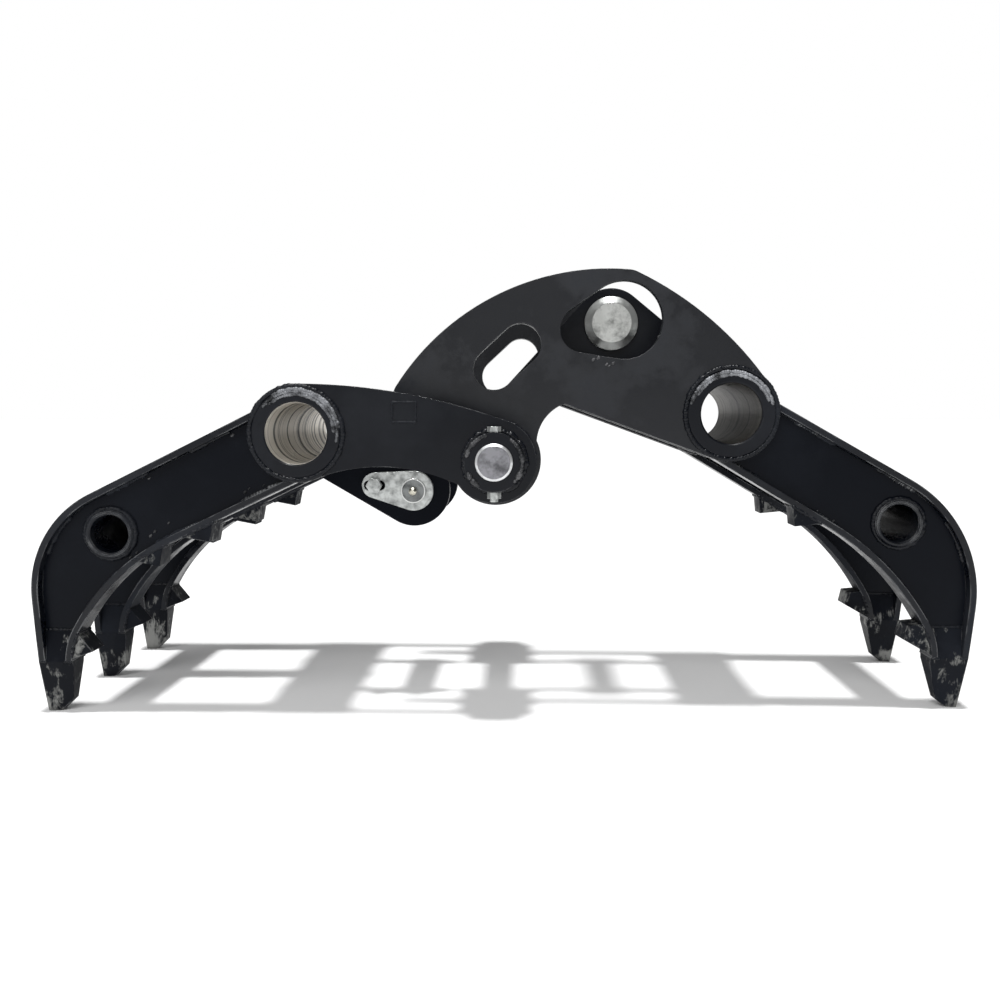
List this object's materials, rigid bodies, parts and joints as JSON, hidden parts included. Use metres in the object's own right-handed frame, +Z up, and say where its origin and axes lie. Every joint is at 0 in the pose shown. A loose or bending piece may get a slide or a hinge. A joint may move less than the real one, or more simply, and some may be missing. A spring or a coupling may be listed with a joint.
{
  "type": "log grapple",
  "caption": "Bucket-linkage log grapple for an excavator: curved tines on two cross tubes, a hinged moving jaw with curved side plates, and pins for stick, link and stiff arm.",
  "frame": {"origin": "on the ground plane, in the middle of the grapple as it stands on its tine tips", "axes": "+X from the fixed jaw to the moving jaw, +Y across the grapple along the hinge pin, +Z up"},
  "size_m": [1.1838, 0.384, 0.5531],
  "materials": {
    "black_paint": "semi-gloss black paint",
    "worn_paint": "black paint, worn and scraped",
    "bare_pin_steel": "machined",
    "zinc_steel": "zinc plated",
    "nipple_brass": "plated",
    "bushing_bronze": "oiled"
  },
  "bodies": {
    "fixed_jaw": {"collar_cross_bolts": "zinc_steel", "collar_nuts": "zinc_steel", "fixed_back_strap_front": "black_paint", "fixed_back_strap_middle": "black_paint", "fixed_back_strap_rear": "black_paint", "fixed_cross_tube": "black_paint", "fixed_lower_teeth": "worn_paint", "fixed_mouth_strap_front": "black_paint", "fixed_mouth_strap_middle": "black_paint", "fixed_mouth_strap_rear": "black_paint", "fixed_spacer_tube": "black_paint", "fixed_tine_web_front": "black_paint", "fixed_tine_web_middle": "black_paint", "fixed_tine_web_rear": "black_paint", "fixed_tip_front": "worn_paint", "fixed_tip_middle": "worn_paint", "fixed_tip_rear": "worn_paint", "fixed_upper_teeth": "worn_paint", "grease_nipple": "nipple_brass", "hinge_collar_front": "black_paint", "hinge_collar_rear": "black_paint", "hinge_pin": "bare_pin_steel", "keeper_bolt": "zinc_steel", "lever_plate_front": "black_paint", "lever_plate_rear": "black_paint", "pin_flag": "zinc_steel", "stiff_arm_ear_front": "black_paint", "stiff_arm_ear_rear": "black_paint", "stiff_arm_pin": "bare_pin_steel", "thrust_washer_front": "bushing_bronze", "thrust_washer_rear": "bushing_bronze"},
    "moving_jaw": {"hinge_bushing_front": "bushing_bronze", "hinge_bushing_rear": "bushing_bronze", "hinge_hub_front": "black_paint", "hinge_hub_rear": "black_paint", "link_ear_front": "black_paint", "link_ear_rear": "black_paint", "link_pin": "bare_pin_steel", "link_pin_keeper": "black_paint", "moving_back_strap_front": "black_paint", "moving_back_strap_rear": "black_paint", "moving_cross_tube": "black_paint", "moving_lower_teeth": "worn_paint", "moving_mouth_strap_front": "black_paint", "moving_mouth_strap_rear": "black_paint", "moving_spacer_tube": "black_paint", "moving_tine_web_front": "black_paint", "moving_tine_web_rear": "black_paint", "moving_tip_front": "worn_paint", "moving_tip_rear": "worn_paint", "moving_upper_teeth": "worn_paint", "side_plate_front": "black_paint", "side_plate_rear": "black_paint"}
  },
  "joints": [
    {"name": "jaw_hinge", "type": "hinge", "parent": "fixed_jaw", "child": "moving_jaw", "pos_m": [-0.015, 0, 0.318], "axis": [0, 1, 0], "range_deg": [0, 120]}
  ]
}
